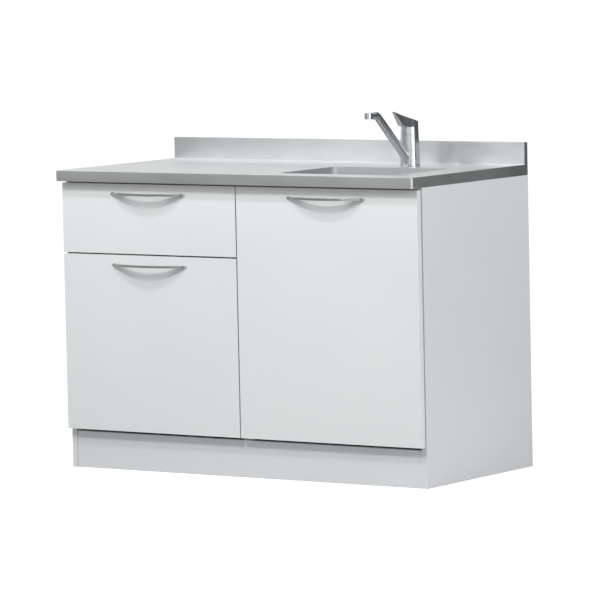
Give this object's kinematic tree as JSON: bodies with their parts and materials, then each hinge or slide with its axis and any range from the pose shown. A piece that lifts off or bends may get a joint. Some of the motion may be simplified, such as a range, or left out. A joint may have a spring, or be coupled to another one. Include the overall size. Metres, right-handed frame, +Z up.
{
  "type": "kitchen sink unit",
  "caption": "Free-standing kitchen base with a stainless worktop, sunk bowl and single-lever mixer tap over hinged doors and a runner drawer.",
  "frame": {"origin": "on the floor, at the middle of the whole unit's footprint, handles included", "axes": "+X to the right along the unit's width seen from the front, +Y from the front towards the wall, +Z up"},
  "size_m": [1.2, 0.608, 1.0105],
  "materials": {
    "stainless_steel": "satin stainless sheet",
    "raw_chipboard": "bare chipboard",
    "white_board": "white melamine-faced board, matt",
    "white_fronts": "smooth white satin front",
    "white_hardboard": "white painted hardboard",
    "softwood": "plain planed wood",
    "chrome_plate": "polished chrome plate",
    "satin_metal": "satin nickel-coloured metal",
    "zinc_steel": "bright zinc plate",
    "trap_plastic": "white moulded plastic",
    "cartridge_plastic": "moulded plastic",
    "seal_rubber": "black rubber",
    "brass_fittings": "machined brass",
    "copper_tube": "drawn copper tube"
  },
  "bodies": {
    "cabinet": {"left_unit_outer_side": "white_board", "left_unit_inner_side": "white_board", "right_unit_inner_side": "white_board", "right_unit_outer_side": "white_board", "left_unit_bottom": "white_board", "right_unit_bottom": "white_board", "left_unit_back": "white_hardboard", "right_unit_back": "white_hardboard", "left_unit_top_rails": "white_board", "right_unit_top_rails": "white_board", "left_unit_shelf": "white_board", "shelf_pins": "zinc_steel", "plinth_board": "white_board", "plinth_blocks": "softwood", "carcass_dowels": "softwood", "unit_connecting_screws": "zinc_steel", "worktop_screws": "zinc_steel", "worktop_deck": "stainless_steel", "worktop_core": "raw_chipboard", "sink_bowl": "stainless_steel", "strainer_flange": "stainless_steel", "strainer_seal": "seal_rubber", "strainer_shell": "trap_plastic", "trap_inlet_pipe": "trap_plastic", "trap_union_nuts": "trap_plastic", "trap_body": "trap_plastic", "trap_cup": "trap_plastic", "trap_outlet_pipe": "trap_plastic", "runner_cabinet_members": "zinc_steel", "hinge_arms": "zinc_steel", "hinge_pins": "zinc_steel", "tap_base_ring": "chrome_plate", "tap_body": "chrome_plate", "tap_shank": "brass_fittings", "tap_clamp_washer": "zinc_steel", "tap_clamp_nut": "brass_fittings", "tap_cartridge": "cartridge_plastic", "tap_supply_tails": "copper_tube"},
    "strainer_basket": {"strainer_basket": "stainless_steel"},
    "drawer": {"drawer_front": "white_fronts", "drawer_handle": "satin_metal", "drawer_handle_screws": "zinc_steel", "drawer_sides": "white_board", "drawer_back": "white_board", "drawer_floor": "white_hardboard", "runner_drawer_members": "zinc_steel"},
    "drawer_runners": {"runner_middle_members": "zinc_steel"},
    "left_door": {"left_door_panel": "white_fronts", "left_door_handle": "satin_metal", "left_door_handle_screws": "zinc_steel", "left_door_hinge_cups": "zinc_steel"},
    "right_door": {"right_door_panel": "white_fronts", "right_door_handle": "satin_metal", "right_door_handle_screws": "zinc_steel", "right_door_hinge_cups": "zinc_steel"},
    "tap_spout": {"tap_spout": "chrome_plate", "spout_aerator": "chrome_plate"},
    "tap_turret": {"tap_turret": "chrome_plate"},
    "tap_lever": {"tap_lever": "chrome_plate", "lever_pin": "zinc_steel"}
  },
  "joints": [
    {"name": "drawer_slide", "type": "slide", "parent": "cabinet", "child": "drawer", "axis": [0, -1, 0], "range_m": [0, 0.44]},
    {"name": "drawer_runner_slide", "type": "slide", "parent": "cabinet", "child": "drawer_runners", "axis": [0, -1, 0], "range_m": [0, 0.22]},
    {"name": "left_door_hinge", "type": "hinge", "parent": "cabinet", "child": "left_door", "pos_m": [-0.5904, -0.2592, 0.363], "axis": [0, 0, -1], "range_deg": [0, 95]},
    {"name": "right_door_hinge", "type": "hinge", "parent": "cabinet", "child": "right_door", "pos_m": [0.5904, -0.2592, 0.4635], "axis": [0, 0, 1], "range_deg": [0, 95]},
    {"name": "spout_swivel", "type": "hinge", "parent": "cabinet", "child": "tap_spout", "pos_m": [0.3, 0.163, 0.87492], "axis": [0, 0, 1], "range_deg": [-90, 90]},
    {"name": "temperature_turn", "type": "hinge", "parent": "cabinet", "child": "tap_turret", "pos_m": [0.3, 0.163, 0.9395], "axis": [0, 0, 1], "range_deg": [-45, 45]},
    {"name": "lever_lift", "type": "hinge", "parent": "tap_turret", "child": "tap_lever", "pos_m": [0.3, 0.183, 0.964], "axis": [-1, 0, 0], "range_deg": [0, 22]},
    {"name": "basket_lift", "type": "slide", "parent": "cabinet", "child": "strainer_basket", "axis": [0, 0, 1], "range_m": [0, 0.05]}
  ],
  "couplings": [
    {"joint": "drawer_runner_slide", "follows": "drawer_slide", "ratio": 0.5}
  ]
}
